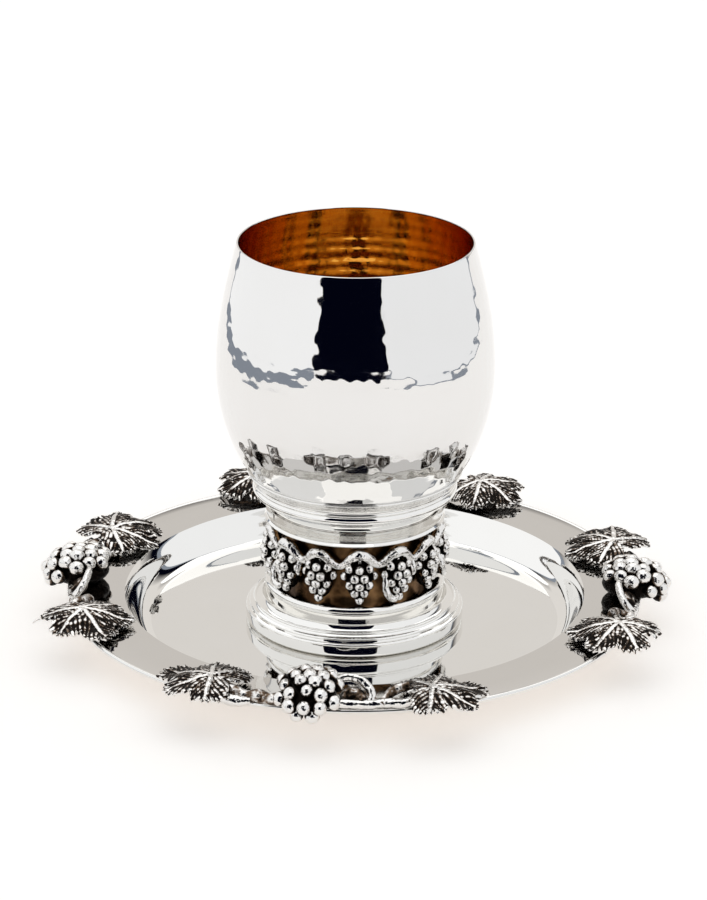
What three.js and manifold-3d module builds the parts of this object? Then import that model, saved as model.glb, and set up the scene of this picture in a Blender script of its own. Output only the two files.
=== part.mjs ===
// Kiddush cup: a hammered silver wine cup with a gilded inside, on a turned foot with a cast vine garland,
// standing on its round tray with four cast vine sprigs on the rim.
// Millimetres, +Z up. The origin is the middle of the tray's underside and the cup's front faces -Y.
import * as THREE from 'three';
import { mergeVertices } from 'three/addons/utils/BufferGeometryUtils.js';
import Module from 'manifold-3d';

const wasm = await Module();
wasm.setup();

// Tray
const traySheet = 1.2;
const trayFloorRadius = 65;
const trayLipRadius = 71.2;
const trayRadius = 88.7;
const trayRimTop = 10.6;
const trayBeadRadius = 0.75;

// Cup, heights above the tray's floor
const standLevel = traySheet;
const baseRadius = 33.7;
const baseBandHeight = 5;
const plateauHeight = 14.2;
const stemRadius = 22.6;
const stemTop = 33.8;
const collarRadius = 28;
const collarRingRadius = 32.1;
const collarTop = 48.6;
const bowlFoot = 36.6;
const bowlWidest = 82;
const bowlRadius = 42.15;
const bowlDrop = 50.6;
const rimHeight = 121.7;
const rimRadius = 35.7;
const rimLean = 0.24;
const bowlWall = 1.0;
const seatGap = 0.3;

// Ornament
const garlandRepeats = 13;
const sprigRadius = 87;
// For each sprig: where its middle is on the rim, how far its leaves stand from there along the rim, how far
// outwards from sprigRadius each leaf's hub is, and how far each leaf's tip is bent up.
const sprigs = [
  { name: 'front', angle: -96.6, mirrored: false, leafAlong: 32.6, hubs: [-1.2, -1.2], tipLifts: [0.5, 0.5] },
  { name: 'right', angle: -4.7, mirrored: true, leafAlong: 32.6, hubs: [-2.4, 0], tipLifts: [3, 0.5] },
  { name: 'back', angle: 86, mirrored: false, leafAlong: 38, hubs: [-2, -2], tipLifts: [2, 3] },
  { name: 'left', angle: 178.5, mirrored: false, leafAlong: 32.6, hubs: [-4, -1], tipLifts: [4.5, 0] },
];

const roundSides = 28;
const traySides = 36;

const silver = { color: 0xe2e2de, roughness: 0.12, metalness: 1 };
const castSilver = { color: 0xb9b5ad, roughness: 0.3, metalness: 1 };
const deg = Math.PI / 180;

// A mesh from a geometry: flat faces, its own material, the name of its piece.
function makePiece(name, geometry, look) {
  const mesh = new THREE.Mesh(geometry, new THREE.MeshStandardMaterial(look));
  mesh.name = name;
  return mesh;
}

// A turned piece from a profile of [radius, height] points, going up the outside and down the inside.
function turned(points, sides = roundSides) {
  const profile = points.map(([radius, height]) => new THREE.Vector2(radius, height));
  const geometry = new THREE.LatheGeometry(profile, sides);
  geometry.rotateX(Math.PI / 2);
  return geometry;
}

// Points of an arc in a profile, from one angle to another in degrees, 0 pointing outwards.
function arc([radius, height], size, from, to, steps) {
  const points = [];
  for (let i = 0; i <= steps; i++) {
    const angle = (from + ((to - from) * i) / steps) * deg;
    points.push([radius + size * Math.cos(angle), height + size * Math.sin(angle)]);
  }
  return points;
}

function raised(points, level) {
  return points.map(([radius, height]) => [radius, height + level]);
}

// Solids for joining and cutting.
function toSolid(geometry) {
  const bare = geometry.clone();
  bare.deleteAttribute('normal');
  bare.deleteAttribute('uv');
  const merged = mergeVertices(bare, 1e-4);
  return new wasm.Manifold(new wasm.Mesh({
    numProp: 3,
    vertProperties: new Float32Array(merged.attributes.position.array),
    triVerts: new Uint32Array(merged.index.array),
  }));
}

function fromSolid(solid) {
  const mesh = solid.getMesh();
  const geometry = new THREE.BufferGeometry();
  geometry.setAttribute('position', new THREE.BufferAttribute(new Float32Array(mesh.vertProperties), 3));
  geometry.setIndex(new THREE.BufferAttribute(new Uint32Array(mesh.triVerts), 1));
  return geometry;
}

// Joins solids into one body. Pockets shut in between them are filled, by keeping only the outer skin.
function joined(solids) {
  const whole = solids.reduce((sum, solid) => sum.add(solid));
  const bodies = whole.decompose().filter((skin) => skin.volume() > 0);
  if (bodies.length !== 1) throw new Error(`${bodies.length} bodies that do not touch`);
  return bodies[0];
}

function box([x0, y0, z0], [x1, y1, z1]) {
  const geometry = new THREE.BoxGeometry(x1 - x0, y1 - y0, z1 - z0);
  geometry.translate((x0 + x1) / 2, (y0 + y1) / 2, (z0 + z1) / 2);
  return toSolid(geometry);
}

// A bunch of grapes with its tip down: a tapering egg shape whose berries stand out in staggered rows.
function bunchOfGrapes(length, width, rows, perRow) {
  const profile = [new THREE.Vector2(0, -length / 2)];
  for (let row = 0; row < rows; row++) {
    const share = (row + 0.5) / rows;
    const size = (width / 2) * Math.sin(Math.PI * share ** 0.8) ** 0.45 * (0.72 + 0.4 * share);
    profile.push(new THREE.Vector2(size, length * (share - 0.5)));
  }
  profile.push(new THREE.Vector2(0, length / 2));
  const geometry = new THREE.LatheGeometry(profile, perRow * 2);
  const position = geometry.attributes.position;
  for (let i = 0; i < position.count; i++) {
    const side = Math.floor(i / profile.length);
    const row = i % profile.length;
    const standing = (side + row) % 2 ? 1.1 : 0.88;
    position.setX(i, position.getX(i) * standing);
    position.setZ(i, position.getZ(i) * standing);
  }
  geometry.rotateX(Math.PI / 2);
  return geometry;
}

// A round rod along a smooth curve through the points.
function rod(points, size, sides, steps) {
  const path = new THREE.CatmullRomCurve3(points.map((point) => new THREE.Vector3(...point)));
  const section = new THREE.Shape();
  for (let i = 0; i < sides; i++) {
    const angle = (2 * Math.PI * i) / sides;
    section[i ? 'lineTo' : 'moveTo'](size * Math.cos(angle), size * Math.sin(angle));
  }
  return toSolid(new THREE.ExtrudeGeometry(section, { steps, extrudePath: path, bevelEnabled: false }));
}

// Bowl: an elliptic underside up to the widest girth, then a curve that draws in to the rim.
function bowlUnder(height, shrink = 0) {
  const rise = (bowlWidest - height) / (bowlDrop - shrink);
  return (bowlRadius - shrink) * Math.sqrt(1 - rise * rise);
}

function bowlOutside() {
  const points = [];
  for (const height of [bowlFoot, 41, 48, 57, 68, bowlWidest]) points.push([bowlUnder(height), height]);
  const reach = rimHeight - bowlWidest;
  const shoulder = new THREE.CubicBezierCurve(
    new THREE.Vector2(bowlRadius, bowlWidest),
    new THREE.Vector2(bowlRadius, bowlWidest + reach * 0.38),
    new THREE.Vector2(rimRadius + rimLean * reach * 0.35, rimHeight - reach * 0.35),
    new THREE.Vector2(rimRadius, rimHeight),
  );
  for (const point of shoulder.getPoints(4).slice(1)) points.push([point.x, point.y]);
  return points;
}

function makeBowl() {
  const outside = bowlOutside();
  const floor = bowlFoot + bowlWall + 0.4;
  const inside = outside
    .filter(([, height]) => height > floor)
    .map(([radius, height]) => [height < bowlWidest ? bowlUnder(height, bowlWall) : radius - bowlWall, height])
    .reverse();
  const insideFloor = [[bowlUnder(floor, bowlWall), floor], [0, floor]];
  const profile = [[0, bowlFoot], ...outside, ...inside, ...insideFloor];
  return makePiece('bowl', turned(raised(profile, standLevel)), silver);
}

// Collar: the turned cup under the bowl, with a waisted band and a round ring above it.
function makeCollar() {
  const ring = arc([collarRingRadius - 1.8, 45.1], 1.8, -60, 60, 2);
  const seat = [];
  for (const height of [collarTop - 0.4, 42]) seat.push([bowlUnder(height) + seatGap, height]);
  const profile = [
    [0, stemTop],
    [collarRadius - 0.6, stemTop],
    [collarRadius, stemTop + 0.7],
    [collarRadius - 0.6, stemTop + 3.4],
    [collarRadius - 0.1, 41.2],
    [collarRadius + 2.3, 42.4],
    ...ring,
    [31.6, 47.4],
    [bowlUnder(collarTop) + seatGap + 0.3, collarTop],
    ...seat,
    [bowlUnder(bowlFoot) + seatGap, bowlFoot],
    [0, bowlFoot],
  ];
  return makePiece('collar', turned(raised(profile, standLevel)), silver);
}

// Base: a stepped foot with a cove and a round ring, and the stem that the garland wraps.
function makeBase() {
  const cove = arc([32.2, 11.6], 4.3, -103, -176, 3);
  const ring = arc([26.6, 12.6], 1.6, -50, 90, 3);
  const recess = 1;
  const profile = [
    [0, recess],
    [baseRadius - 4, recess],
    [baseRadius - 4, 0],
    [baseRadius - 0.5, 0],
    [baseRadius, 0.6],
    [baseRadius, baseBandHeight - 1],
    [baseRadius - 0.5, baseBandHeight],
    [baseRadius - 1.3, baseBandHeight + 0.3],
    [baseRadius - 1.3, baseBandHeight + 2],
    ...cove,
    ...ring,
    [stemRadius, plateauHeight],
    [stemRadius, stemTop],
    [0, stemTop],
  ];
  return makePiece('base', turned(raised(profile, standLevel)), silver);
}

// Garland: an openwork casting wrapped round the stem, a wavy vine with a bunch of grapes hanging under each
// of its arches.
function makeGarland() {
  const bottom = plateauHeight + standLevel;
  const top = stemTop - 1 + standLevel;
  const innerRadius = stemRadius + seatGap;
  const bunchLength = 15;
  const bunchWidth = 10.4;
  const bunchDepth = 6.8;
  const vineRadius = 26;
  const vineSize = 2.2;
  const vineWave = 1.5;
  const repeat = (2 * Math.PI) / garlandRepeats;

  // the vine is a ring that rises and falls once for each cluster
  const vine = new THREE.TorusGeometry(vineRadius, vineSize, 4, garlandRepeats * 4);
  const position = vine.attributes.position;
  for (let i = 0; i < position.count; i++) {
    const wave = Math.cos(garlandRepeats * (Math.atan2(position.getY(i), position.getX(i)) + Math.PI / 2));
    position.setZ(i, position.getZ(i) + top - vineSize - vineWave * (1 - wave));
  }
  const pieces = [toSolid(vine)];

  for (let i = 0; i < garlandRepeats; i++) {
    const hanging = bunchOfGrapes(bunchLength, bunchWidth, 4, 5);
    hanging.scale(bunchDepth / bunchWidth, 1, 1);
    hanging.translate(25.3, 0, bottom + bunchLength / 2 + 0.2);
    hanging.rotateZ(repeat * i - Math.PI / 2);
    pieces.push(toSolid(hanging));
  }
  const stem = turned([[0, 0], [innerRadius, 0], [innerRadius, collarTop], [0, collarTop]], garlandRepeats * 2);
  return makePiece('garland', fromSolid(joined(pieces).subtract(toSolid(stem))), castSilver);
}

// Tray: one sheet with a flat floor, an ogee wall, a flat rim and a rolled edge.
function makeTray() {
  const middle = (traySheet + trayRimTop) / 2;
  const wallTop = [
    [trayFloorRadius, traySheet],
    [trayFloorRadius + 2.2, traySheet + 1.1],
    [trayLipRadius - 2.6, middle + 2],
    [trayLipRadius - 1.3, trayRimTop - 0.5],
    [trayLipRadius, trayRimTop],
  ];
  const wallUnder = wallTop.map(([radius, height]) => [radius + 0.75, height - 1.2]).reverse();
  wallUnder[0] = [trayLipRadius + 0.4, trayRimTop - traySheet];
  wallUnder[wallUnder.length - 1] = [trayFloorRadius + 0.5, 0];
  const bead = arc([trayRadius - trayBeadRadius, trayRimTop - 0.5], trayBeadRadius, 138, -138, 4);
  const rimEdge = trayRadius - trayBeadRadius - 0.56;
  const profile = [[0, traySheet], ...wallTop, [rimEdge, trayRimTop], ...bead.slice(1),
    [rimEdge - 0.4, trayRimTop - traySheet], ...wallUnder, [0, 0]];
  return makePiece('tray', turned(profile.reverse(), traySides), silver);
}

// A vine sprig is shaped flat first: x runs along the rim, y outwards from sprigRadius, z up from the rim's top.
const leaf = {
  lobeAngles: [-108, -54, 0, 54, 108],
  lobeReach: [14, 15.5, 15.5, 14, 12.5],
  tipReach: 15.5,
  shoulderAngle: 17,
  shoulder: 0.88,
  sinus: 0.7,
  petioleSinus: 0.35,
  hubHeight: 6,
  thickness: 1.1,
};

// The outline of a leaf about its hub, as [angle, reach] pairs: for each lobe two shoulders and a tip.
function leafOutline() {
  const outline = [];
  leaf.lobeAngles.forEach((angle, i) => {
    const reach = leaf.lobeReach[i];
    if (i > 0) {
      const before = leaf.lobeReach[i - 1];
      outline.push([(angle + leaf.lobeAngles[i - 1]) / 2, (leaf.sinus * (reach + before)) / 2]);
    }
    outline.push([angle - leaf.shoulderAngle, reach * leaf.shoulder]);
    outline.push([angle, reach]);
    outline.push([angle + leaf.shoulderAngle, reach * leaf.shoulder]);
  });
  const last = leaf.lobeAngles.length - 1;
  outline.push([180, leaf.lobeReach[last] * leaf.petioleSinus]);
  return outline;
}

// Height of the blade over the rim: it domes over its hub and droops towards its outer side.
function bladeHeight(along, outwards, tipLift) {
  const reach = Math.hypot(along, outwards);
  const droop = outwards > 0 ? 0.016 : 0.006;
  const lift = (tipLift * Math.max(along, 0)) / leaf.tipReach;
  return leaf.hubHeight + lift - droop * reach * reach - 0.006 * along * along;
}

function makeLeaf(hubAlong, direction, hubOutwards, tipLift) {
  const outline = leafOutline();
  const top = [[0, 0, leaf.hubHeight - 0.5]];
  const ribLift = 0.5;
  for (const share of [0.5, 1]) {
    outline.forEach(([angle, reach], i) => {
      const along = share * reach * Math.cos(angle * deg);
      const outwards = share * reach * Math.sin(angle * deg);
      const onRib = leaf.lobeAngles.includes(angle) ? ribLift : -ribLift;
      const height = bladeHeight(along, outwards, tipLift) + (share < 1 ? onRib : 0);
      top.push([along, outwards, height]);
    });
  }
  const count = outline.length;
  const under = [[0, 0, top[0][2] - leaf.thickness]];
  for (const [along, outwards, height] of top.slice(count + 1)) {
    under.push([along * 0.97, outwards * 0.97, height - leaf.thickness]);
  }
  const vertices = [...top, ...under];
  const faces = [];
  const inner = (i) => 1 + (i % count);
  const outer = (i) => 1 + count + (i % count);
  const below = (i) => top.length + 1 + (i % count);
  for (let i = 0; i < count; i++) {
    faces.push([0, inner(i), inner(i + 1)]);
    faces.push([inner(i), outer(i), outer(i + 1)], [inner(i), outer(i + 1), inner(i + 1)]);
    faces.push([outer(i), below(i), below(i + 1)], [outer(i), below(i + 1), outer(i + 1)]);
    faces.push([top.length, below(i + 1), below(i)]);
  }
  const geometry = new THREE.BufferGeometry();
  const flat = vertices.flatMap(([along, outwards, height]) => [hubAlong + direction * along, hubOutwards + outwards, height]);
  const order = direction > 0 ? faces : faces.map(([a, b, c]) => [a, c, b]);
  geometry.setAttribute('position', new THREE.BufferAttribute(new Float32Array(flat), 3));
  geometry.setIndex(order.flat());
  return toSolid(geometry);
}

// The sprig's bunch lies on the rim with its tip outwards, flattened, and hangs a little over the edge.
const bunch = { along: -3, outwards: -1.2, height: 3.6, length: 22, width: 22, flatness: 0.55 };

function makeBunch() {
  const geometry = bunchOfGrapes(bunch.length, bunch.width, 6, 7);
  geometry.rotateX(Math.PI / 2);
  geometry.scale(1, 1, bunch.flatness);
  geometry.translate(bunch.along, bunch.outwards, bunch.height);
  return toSolid(geometry);
}

// The twig lies along the rim, joins both leaves and the cluster, and throws one loop beside the cluster.
function makeTwig(leafAlong, hubs) {
  const twig = rod([
    [-leafAlong - 1, hubs[0] + 0.6, 3.2],
    [-leafAlong + 10, 0.4, 1.2],
    [bunch.along, 0.6, 1.5],
    [12, 0.4, 1.2],
    [24, 0.6, 1.2],
    [leafAlong + 1, hubs[1] + 0.6, 3.2],
  ], 1.6, 5, 10);
  const loop = rod([
    [5, -3, 4.6],
    [8.5, -4.6, 6],
    [12.5, -4.2, 5.2],
    [14.6, -2, 3],
    [14.4, 0.6, 1.2],
  ], 1.4, 5, 5);
  const tendril = rod([
    [19, 0.4, 1.2],
    [20.5, -4, 1.6],
    [24, -6, 2.6],
    [28, -4.5, 4],
  ], 1.1, 4, 3);
  const petioles = [-leafAlong, leafAlong].map((along, i) => {
    const outwards = hubs[i] + 0.6;
    return rod([[along, outwards, -1], [along, outwards, 4.6]], 2.2, 5, 1);
  });
  return [twig, loop, tendril, ...petioles];
}

// Lays the flat sprig along the rim's circle, mirrored where it faces the other way.
function bent(geometry, angle, mirrored) {
  const position = geometry.attributes.position;
  const turn = mirrored ? -1 : 1;
  for (let i = 0; i < position.count; i++) {
    const radius = sprigRadius + position.getY(i);
    const around = angle * deg + (turn * position.getX(i)) / sprigRadius;
    position.setXYZ(i, radius * Math.cos(around), radius * Math.sin(around), trayRimTop + position.getZ(i));
  }
  const order = geometry.index.array;
  // looking along the rim with outwards as y, the unmirrored sprig is the one that comes out left-handed
  if (!mirrored) {
    for (let i = 0; i < order.length; i += 3) [order[i + 1], order[i + 2]] = [order[i + 2], order[i + 1]];
  }
  return geometry;
}

function makeSprig({ name, angle, mirrored, leafAlong, hubs, tipLifts }) {
  const below = 20;
  const beyond = 60;
  // the rolled edge and the clearance round it, outwards from sprigRadius
  const edge = { from: 0.1, to: 2.25, height: 0.6 };
  const rimCut = box([-beyond, -beyond, -below], [beyond, edge.to, 0]);
  const beadCut = box([-beyond, edge.from, -below], [beyond, edge.to, edge.height]);
  const whole = joined([
    makeLeaf(-leafAlong, -1, hubs[0], tipLifts[0]),
    makeLeaf(leafAlong, 1, hubs[1], tipLifts[1]),
    makeBunch(),
    ...makeTwig(leafAlong, hubs),
  ]).subtract(rimCut).subtract(beadCut);
  return makePiece(`vine_sprig_${name}`, bent(fromSolid(whole), angle, mirrored), castSilver);
}

const cup = new THREE.Group();
cup.add(makeBowl(), makeCollar(), makeGarland(), makeBase(), makeTray());
sprigs.forEach((sprig) => cup.add(makeSprig(sprig)));

export default cup;
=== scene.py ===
import math
import random
import bpy
import numpy as np
from mathutils import Matrix, Vector, kdtree


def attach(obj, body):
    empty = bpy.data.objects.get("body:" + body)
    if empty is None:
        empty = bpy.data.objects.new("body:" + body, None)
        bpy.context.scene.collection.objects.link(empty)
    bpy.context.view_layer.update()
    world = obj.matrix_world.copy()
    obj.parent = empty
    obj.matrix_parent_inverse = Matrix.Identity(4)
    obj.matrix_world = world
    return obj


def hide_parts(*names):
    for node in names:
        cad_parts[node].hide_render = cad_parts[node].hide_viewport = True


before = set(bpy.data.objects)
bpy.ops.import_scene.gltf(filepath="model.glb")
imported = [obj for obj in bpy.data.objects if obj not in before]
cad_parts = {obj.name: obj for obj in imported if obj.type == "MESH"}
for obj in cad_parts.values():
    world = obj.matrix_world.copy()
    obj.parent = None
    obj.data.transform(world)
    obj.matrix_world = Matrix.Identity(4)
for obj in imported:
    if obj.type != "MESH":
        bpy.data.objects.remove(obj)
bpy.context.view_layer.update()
mm = 0.001


def pickNothing():
    if bpy.context.mode != "OBJECT":
        bpy.ops.object.mode_set(mode="OBJECT")
    bpy.ops.object.select_all(action="DESELECT")


def pickOnly(piece):
    pickNothing()
    piece.select_set(True)
    bpy.context.view_layer.objects.active = piece


def coat(piece, *finishes):
    piece.data.materials.clear()
    for finish in finishes:
        piece.data.materials.append(finish)


def finishPiece(piece, name, cadNode, smoothAngle=40):
    pickOnly(piece)
    bpy.ops.object.transform_apply(location=True, rotation=True, scale=True)
    bpy.ops.object.shade_smooth_by_angle(angle=math.radians(smoothAngle))
    piece.name = name
    piece.data.name = name
    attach(piece, "root")
    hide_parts(cadNode)
    print(name, "done,", sum(len(face.vertices) - 2 for face in piece.data.polygons), "triangles")
    return piece


def places(piece):
    flat = np.empty(len(piece.data.vertices) * 3)
    piece.data.vertices.foreach_get("co", flat)
    return flat.reshape(-1, 3)


def putPlaces(piece, points):
    piece.data.vertices.foreach_set("co", np.ascontiguousarray(points, dtype=np.float64).ravel())
    piece.data.update()


# how rubbed a casting looks at each point: wear and oxide, together with painted shade in its hollows
def paintWearAndShade(piece, values):
    layer = piece.data.attributes.get("wornAndShaded") or piece.data.attributes.new("wornAndShaded", "FLOAT", "POINT")
    layer.data.foreach_set("value", np.ascontiguousarray(np.clip(values, 0, 1), dtype=np.float32))


# a round piece: its section is drawn edge by edge from the middle of one end to the middle of the other,
# then spun round the upright axis
def turnPiece(section, steps):
    pickNothing()
    bpy.ops.mesh.primitive_plane_add(size=0.01)
    piece = bpy.context.active_object
    bpy.ops.object.mode_set(mode="EDIT")
    bpy.ops.mesh.select_all(action="SELECT")
    bpy.ops.mesh.merge(type="CENTER")
    here = (0.0, 0.0)
    for index, (radius, height) in enumerate(section):
        move = ((radius - here[0]) * mm, 0, (height - here[1]) * mm)
        if index:
            bpy.ops.mesh.extrude_vertices_move(TRANSFORM_OT_translate={"value": move})
        else:
            bpy.ops.transform.translate(value=move)
        here = (radius, height)
    bpy.ops.mesh.select_all(action="SELECT")
    bpy.ops.mesh.spin(steps=steps, angle=2 * math.pi, center=(0, 0, 0), axis=(0, 0, 1))
    bpy.ops.mesh.select_all(action="SELECT")
    bpy.ops.mesh.remove_doubles(threshold=2e-6)
    bpy.ops.mesh.normals_make_consistent(inside=False)
    bpy.ops.object.mode_set(mode="OBJECT")
    return piece


def arc(middle, size, start, end, steps):
    turns = [math.radians(start + (end - start) * step / steps) for step in range(steps + 1)]
    return [(middle[0] + size * math.cos(turn), middle[1] + size * math.sin(turn)) for turn in turns]


def newMaterial(name):
    material = bpy.data.materials.new(name)
    material.use_nodes = True
    return material, material.node_tree, material.node_tree.nodes["Principled BSDF"]


def newMetal(name):
    material, tree, shader = newMaterial(name)
    shader.inputs["Metallic"].default_value = 1
    return material, tree, shader, node(tree, "ShaderNodeTexCoord").outputs["Object"]


def node(tree, kind, **settings):
    made = tree.nodes.new(kind)
    for key, value in settings.items():
        setattr(made, key, value)
    return made


def spread(tree, source, fromLow, fromHigh, toLow, toHigh):
    made = node(tree, "ShaderNodeMapRange")
    made.inputs["From Min"].default_value = fromLow
    made.inputs["From Max"].default_value = fromHigh
    made.inputs["To Min"].default_value = toLow
    made.inputs["To Max"].default_value = toHigh
    tree.links.new(source, made.inputs["Value"])
    return made.outputs["Result"]


def noise(tree, place, scale, detail):
    made = node(tree, "ShaderNodeTexNoise")
    made.inputs["Scale"].default_value = scale
    made.inputs["Detail"].default_value = detail
    tree.links.new(place, made.inputs["Vector"])
    return made.outputs["Fac"]


def addShare(tree, source, share, base):
    made = node(tree, "ShaderNodeMath", operation="MULTIPLY_ADD")
    made.inputs[1].default_value = share
    tree.links.new(source, made.inputs[0])
    tree.links.new(base, made.inputs[2])
    return made.outputs["Value"]


def mixTones(tree, share, first, second):
    made = node(tree, "ShaderNodeMixRGB")
    made.inputs["Color1"].default_value = (*first, 1)
    made.inputs["Color2"].default_value = (*second, 1)
    tree.links.new(share, made.inputs["Fac"])
    return made.outputs["Color"]


# the tones from dark to light, each with the value at which it is pure
def toneRamp(tree, source, *tones):
    made = node(tree, "ShaderNodeValToRGB")
    stops = made.color_ramp.elements
    stops[0].position, stops[1].position = tones[0][0], tones[-1][0]
    stops[0].color, stops[1].color = (*tones[0][1], 1), (*tones[-1][1], 1)
    for position, tone in tones[1:-1]:
        stops.new(position).color = (*tone, 1)
    tree.links.new(source, made.inputs["Fac"])
    return made.outputs["Color"]


def relief(tree, height, strength, depth, under=None):
    made = node(tree, "ShaderNodeBump")
    made.inputs["Strength"].default_value = strength
    made.inputs["Distance"].default_value = depth * mm
    tree.links.new(height, made.inputs["Height"])
    if under:
        tree.links.new(under, made.inputs["Normal"])
    return made.outputs["Normal"]


# polished silver: nearly a mirror, with hairline polishing marks and a slight film that comes and goes
polish = {"filmScale": 60, "filmTone": (0.97, 0.965, 0.955), "filmFrom": 0.35, "filmTo": 0.7, "rippleDepth": 0.1}


def polishedSilver(name, color, rough, rippleScale, rippleStrength):
    material, tree, shader, place = newMetal(name)
    film = noise(tree, place, polish["filmScale"], 4)
    filmed = [value * share for value, share in zip(color, polish["filmTone"])]
    roughness = spread(tree, film, polish["filmFrom"], polish["filmTo"], rough * 0.7, rough * 1.5)
    ripple = noise(tree, place, rippleScale, 2)
    tree.links.new(roughness, shader.inputs["Roughness"])
    tree.links.new(mixTones(tree, film, color, filmed), shader.inputs["Base Color"])
    tree.links.new(relief(tree, ripple, rippleStrength, polish["rippleDepth"]), shader.inputs["Normal"])
    return material


# antiqued silver: bright where a hand has rubbed it, black-brown where the oxide stayed in the hollows and where shade
# is painted into the hollows, behind the grapes and under the leaves
antique = {"grainScale": 900, "grainShare": 0.22, "grainDepth": 0.15, "lumpScale": 420, "lumpShare": 0.6,
           "lumpDepth": 0.9, "oxide": (0.50, (0.008, 0.006, 0.005)), "brown": (0.59, (0.16, 0.11, 0.075)),
           "rubbed": (0.68, (0.81, 0.795, 0.775)), "oxideRough": 0.5, "rubbedRough": 0.12, "smoothFrom": 0.75}


def antiquedSilver(name):
    material, tree, shader, place = newMetal(name)
    wornAndShaded = node(tree, "ShaderNodeAttribute", attribute_name="wornAndShaded").outputs["Fac"]
    grain = noise(tree, place, antique["grainScale"], 3)
    lumps = noise(tree, place, antique["lumpScale"], 2)
    ragged = addShare(tree, grain, antique["grainShare"], wornAndShaded)
    ragged = addShare(tree, spread(tree, lumps, 0, 1, -0.5, 0.5), antique["lumpShare"], ragged)
    tone = toneRamp(tree, ragged, antique["oxide"], antique["brown"], antique["rubbed"])
    roughness = spread(tree, ragged, antique["oxide"][0], antique["smoothFrom"],
                       antique["oxideRough"], antique["rubbedRough"])
    lumpy = relief(tree, lumps, 0.8, antique["lumpDepth"])
    tree.links.new(tone, shader.inputs["Base Color"])
    tree.links.new(roughness, shader.inputs["Roughness"])
    tree.links.new(relief(tree, grain, 0.35, antique["grainDepth"], lumpy), shader.inputs["Normal"])
    return material


# the stem's ground behind the garland: smooth metal, clouded from dark brown to warm brown
ground = {"cloudScale": 140, "dark": (0.38, (0.05, 0.024, 0.01)), "light": (0.68, (0.34, 0.19, 0.085)),
          "rough": 0.32}


def brownedSilver(name):
    material, tree, shader, place = newMetal(name)
    cloud = noise(tree, place, ground["cloudScale"], 3)
    tree.links.new(toneRamp(tree, cloud, ground["dark"], ground["light"]), shader.inputs["Base Color"])
    shader.inputs["Roughness"].default_value = ground["rough"]
    return material


# gilding: deep orange gold laid over the hammered inside
gilt = {"patchScale": 110, "deep": (0.725, 0.46, 0.165), "pale": (0.80, 0.555, 0.24), "smooth": 0.04,
        "rough": 0.07, "patchStrength": 0.5, "patchDepth": 0.1}


def giltSilver(name):
    material, tree, shader, place = newMetal(name)
    patch = noise(tree, place, gilt["patchScale"], 5)
    roughness = spread(tree, patch, 0.3, 0.7, gilt["smooth"], gilt["rough"])
    tree.links.new(mixTones(tree, patch, gilt["deep"], gilt["pale"]), shader.inputs["Base Color"])
    tree.links.new(roughness, shader.inputs["Roughness"])
    patchy = relief(tree, patch, gilt["patchStrength"], gilt["patchDepth"])
    tree.links.new(patchy, shader.inputs["Normal"])
    return material


# colour, roughness, then the scale and strength of the ripples
silver = polishedSilver("polishedSilver", (0.81, 0.805, 0.79), 0.035, 90, 0.05)
# a brighter copy of the same silver for the foot, the collar and the inside of the tray's wall: painted light
paintedLightSilver = polishedSilver("paintedLightSilver", (0.87, 0.865, 0.85), 0.035, 90, 0.05)
# a darker copy of the same silver for the tray's flat rim top: painted shade
paintedShadeRimSilver = polishedSilver("paintedShadeRimSilver", (0.66, 0.645, 0.625), 0.045, 90, 0.05)
hammeredSilver = polishedSilver("hammeredSilver", (0.81, 0.805, 0.80), 0.04, 240, 0.25)
mattedSilver = polishedSilver("mattedSilver", (0.76, 0.75, 0.73), 0.06, 900, 1.0)
castSilver = antiquedSilver("antiquedSilver")
stemGround = brownedSilver("brownedSilver")
gilding = giltSilver("gilding")
print("finishes mixed")


# the tray's floor carries everything: heights below are measured from it
floorLevel = 1.2

# the bowl: its outline, and the two courses of hammer marks, outside and inside the gilding
bowl = {"foot": 36.6, "widest": 82, "radius": 42.15, "drop": 50.6, "rim": 121.7, "rimRadius": 35.7,
        "rimLean": 0.24, "fullness": 0.38, "leanShare": 0.35, "wall": 1.0, "bottomWall": 1.4, "lipWall": 0.6,
        "lipThins": 9, "around": 366, "step": 0.66, "insideStep": 0.9, "bottomSteps": 20,
        "markPitch": 3.9, "markRise": 0.0125, "jitter": 0.22, "rowPitch": 0.88, "markReach": 3.2,
        "fadeFrom": 40, "plainLip": 1.1, "fadeOver": 1.5,
        "insidePitch": 4.1, "insideRise": 0.012, "insideJitter": 0.14, "rowRise": 0.020}


def underBowl(height, shrink=0.0):
    rise = (bowl["widest"] - height) / (bowl["drop"] - shrink)
    return (bowl["radius"] - shrink) * math.sqrt(max(0.0, 1 - rise * rise))


# the belly is part of an ellipse up to the widest height, and one smooth curve from there to the rim
def bowlSide(step):
    reach = bowl["rim"] - bowl["widest"]
    below = reach * bowl["leanShare"]
    a, b = Vector((bowl["radius"], bowl["widest"])), Vector((bowl["radius"], bowl["widest"] + reach * bowl["fullness"]))
    c = Vector((bowl["rimRadius"] + bowl["rimLean"] * below, bowl["rim"] - below))
    d = Vector((bowl["rimRadius"], bowl["rim"]))
    side = []
    belly = bowl["widest"] - bowl["foot"]
    turns = round(belly * 1.25 / step)
    lowest = math.asin(belly / bowl["drop"])
    for index in range(turns):
        turn = lowest * (1 - index / turns)
        side.append((bowl["radius"] * math.cos(turn), bowl["widest"] - bowl["drop"] * math.sin(turn)))
    steps = round(reach / step)
    for index in range(steps + 1):
        t = index / steps
        point = a * (1 - t) ** 3 + b * 3 * t * (1 - t) ** 2 + c * 3 * t * t * (1 - t) + d * t ** 3
        side.append((point.x, point.y))
    return side


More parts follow.
